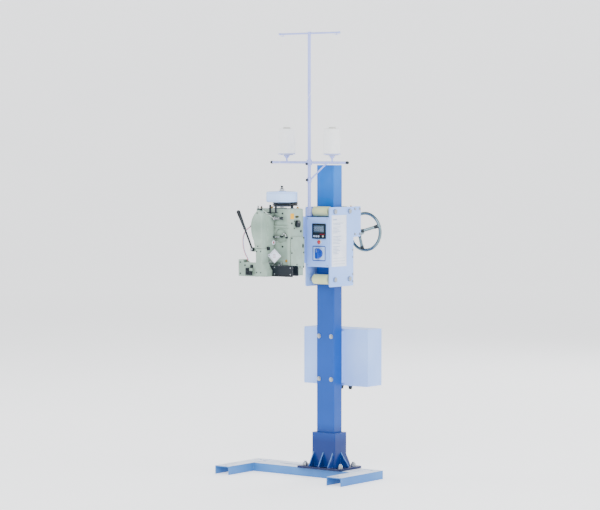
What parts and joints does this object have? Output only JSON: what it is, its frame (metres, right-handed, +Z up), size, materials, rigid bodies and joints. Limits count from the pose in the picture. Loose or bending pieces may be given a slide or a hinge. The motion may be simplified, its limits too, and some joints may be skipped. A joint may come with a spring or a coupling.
{
  "type": "bag closer sewing machine",
  "caption": "Pedestal bag closing sewing machine: height-adjustable roller carriage on a column, sewing head with motor, thread stand, control panel and rear enclosure.",
  "frame": {"origin": "on the floor under the column's axis, on the underside of the base bar's middle spacer", "axes": "+Z up along the column, +X to the operator's right along the base bar, +Y away from the operator"},
  "size_m": [0.884, 0.747, 2.485],
  "materials": {
    "base_paint": "satin",
    "deep_blue_paint": "satin",
    "blue_paint": "satin",
    "light_paint": "satin",
    "head_paint": "satin",
    "motor_paint": "satin",
    "mast_paint": "satin",
    "dark_steel": "brushed",
    "zinc_steel": "zinc plated",
    "polished_steel": "polished",
    "chrome": "bright",
    "bronze": "turned",
    "black_plastic": "satin",
    "grey_parts": "moulded",
    "red_lens": "gloss",
    "switch_face": "satin",
    "blue_plastic": "satin",
    "thread_white": "wound",
    "guide_navy": "satin",
    "belt_rubber": "matt",
    "wire_red": "satin",
    "wire_blue": "satin",
    "roller_nylon": "turned"
  },
  "bodies": {
    "stand": {"base_bar": "base_paint", "base_feet": "base_paint", "base_plate": "deep_blue_paint", "base_bolts": "zinc_steel", "column_boot": "blue_paint", "column_tube": "blue_paint", "gear_rack": "dark_steel", "box_shell": "light_paint", "control_chassis": "grey_parts", "box_glands": "black_plastic", "box_bolts": "zinc_steel"},
    "box_door": {"door_panel": "light_paint"},
    "box_lock": {"lock_knob": "zinc_steel"},
    "carriage": {"left_side_plate": "light_paint", "right_side_plate": "light_paint", "carriage_ties": "light_paint", "roller_axles": "zinc_steel", "gear_housing": "light_paint", "shaft_bushes": "bronze", "control_housing": "light_paint", "counter_case": "black_plastic", "pilot_lamp": "red_lens", "switch_plate": "switch_face", "thread_mast": "mast_paint", "lower_arm": "mast_paint", "thread_cones": "thread_white", "threads": "thread_white", "head_bracket": "light_paint", "head_body": "head_paint", "front_arm": "head_paint", "face_cover": "head_paint", "side_cover": "head_paint", "cutter_block": "head_paint", "guide_plates": "guide_navy", "throat_plate": "polished_steel", "drive_belt": "belt_rubber", "motor": "motor_paint", "tension_discs": "polished_steel", "thread_guides": "dark_steel", "cutter_wire_red": "wire_red", "cutter_wire_blue": "wire_blue"},
    "lower_front_roller": {"lower_front_roller": "roller_nylon"},
    "upper_front_roller": {"upper_front_roller": "roller_nylon"},
    "lower_rear_rollers": {"lower_rear_rollers": "roller_nylon"},
    "upper_rear_rollers": {"upper_rear_rollers": "roller_nylon"},
    "handwheel": {"handwheel": "chrome", "pinion_shaft": "dark_steel"},
    "reset_button": {"reset_button": "grey_parts"},
    "switch_knob": {"switch_knob": "blue_plastic"},
    "main_drive": {"main_shaft": "polished_steel", "drum_pulley": "light_paint"},
    "motor_drive": {"motor_pulley": "dark_steel"},
    "needle_bar": {"needle_bar": "polished_steel"},
    "presser_foot": {"presser_foot": "polished_steel"},
    "lifter_lever": {"lifter_lever": "black_plastic"},
    "looper": {"looper": "polished_steel"},
    "feed_dog": {"feed_dog": "dark_steel"},
    "moving_knife": {"moving_knife": "dark_steel"},
    "tension_knob": {"tension_knob": "black_plastic"},
    "stitch_knob": {"stitch_knob": "black_plastic"}
  },
  "joints": [
    {"name": "carriage_lift", "type": "slide", "parent": "stand", "child": "carriage", "axis": [0, 0, 1], "range_m": [-0.2, 0.2]},
    {"name": "box_door_hinge", "type": "hinge", "parent": "stand", "child": "box_door", "pos_m": [-0.227, 0.17625, 0.67], "axis": [0, 0, 1], "range_deg": [0, 115]},
    {"name": "box_lock_turn", "type": "hinge", "parent": "box_door", "child": "box_lock", "pos_m": [0.19, 0.19, 0.67], "axis": [0, 1, 0], "range_deg": [0, 90]},
    {"name": "lower_front_roller_spin", "type": "hinge", "parent": "carriage", "child": "lower_front_roller", "pos_m": [0, -0.068, 1.11], "axis": [1, 0, 0], "range_deg": [-420, 420]},
    {"name": "lower_rear_rollers_spin", "type": "hinge", "parent": "carriage", "child": "lower_rear_rollers", "pos_m": [0, 0.068, 1.11], "axis": [1, 0, 0], "range_deg": [-420, 420]},
    {"name": "upper_front_roller_spin", "type": "hinge", "parent": "carriage", "child": "upper_front_roller", "pos_m": [0, -0.068, 1.488], "axis": [1, 0, 0], "range_deg": [-420, 420]},
    {"name": "upper_rear_rollers_spin", "type": "hinge", "parent": "carriage", "child": "upper_rear_rollers", "pos_m": [0, 0.068, 1.488], "axis": [1, 0, 0], "range_deg": [-420, 420]},
    {"name": "handwheel_turn", "type": "hinge", "parent": "carriage", "child": "handwheel", "pos_m": [0.053, 0.2, 1.366], "axis": [0, 1, 0], "range_deg": [-650, 650]},
    {"name": "reset_button_press", "type": "slide", "parent": "carriage", "child": "reset_button", "axis": [0, 1, 0], "range_m": [0, 0.0025], "stiffness_N_per_m": 400, "springref_m": -0.002},
    {"name": "switch_knob_turn", "type": "hinge", "parent": "carriage", "child": "switch_knob", "pos_m": [0.014, -0.12, 1.256], "axis": [0, 1, 0], "range_deg": [0, 90]},
    {"name": "main_shaft_spin", "type": "hinge", "parent": "carriage", "child": "main_drive", "pos_m": [-0.119, -0.28, 1.4], "axis": [0, 0, 1], "continuous": true},
    {"name": "motor_spin", "type": "hinge", "parent": "carriage", "child": "motor_drive", "pos_m": [-0.175, -0.115, 1.45], "axis": [0, 0, 1], "continuous": true},
    {"name": "needle_bar_stroke", "type": "slide", "parent": "carriage", "child": "needle_bar", "axis": [0, 1, 0], "range_m": [0, 0.03]},
    {"name": "presser_foot_lift", "type": "slide", "parent": "carriage", "child": "presser_foot", "axis": [0, -1, 0], "range_m": [0, 0.008]},
    {"name": "lifter_lever_turn", "type": "hinge", "parent": "carriage", "child": "lifter_lever", "pos_m": [-0.197, -0.445, 1.284], "axis": [0, -1, 0], "range_deg": [0, 25], "stiffness_Nm_per_rad": 2, "springref_deg": -20.05},
    {"name": "looper_swing", "type": "hinge", "parent": "carriage", "child": "looper", "pos_m": [-0.178, -0.312, 1.19], "axis": [0, 0, 1], "range_deg": [-8, 12]},
    {"name": "feed_dog_stroke", "type": "slide", "parent": "carriage", "child": "feed_dog", "axis": [1, 0, 0], "range_m": [-0.004, 0.004]},
    {"name": "moving_knife_swing", "type": "hinge", "parent": "carriage", "child": "moving_knife", "pos_m": [-0.24, -0.402, 1.168], "axis": [0, 1, 0], "range_deg": [0, 25]},
    {"name": "tension_knob_turn", "type": "hinge", "parent": "carriage", "child": "tension_knob", "pos_m": [-0.055, -0.368, 1.456], "axis": [1, 0, 0], "range_deg": [-360, 360]},
    {"name": "stitch_knob_turn", "type": "hinge", "parent": "carriage", "child": "stitch_knob", "pos_m": [-0.01, -0.278, 1.424], "axis": [1, 0, 0], "range_deg": [-90, 90]}
  ],
  "couplings": [
    {"joint": "lower_front_roller_spin", "follows": "carriage_lift", "rad_per_m": -35.714},
    {"joint": "upper_front_roller_spin", "follows": "carriage_lift", "rad_per_m": -35.714},
    {"joint": "lower_rear_rollers_spin", "follows": "carriage_lift", "rad_per_m": 35.714},
    {"joint": "upper_rear_rollers_spin", "follows": "carriage_lift", "rad_per_m": 35.714},
    {"joint": "handwheel_turn", "follows": "carriage_lift", "rad_per_m": -55.556},
    {"joint": "motor_spin", "follows": "main_shaft_spin", "ratio": 1.6731},
    {"joint": "presser_foot_lift", "follows": "lifter_lever_turn", "m_per_rad": 0.018317}
  ]
}
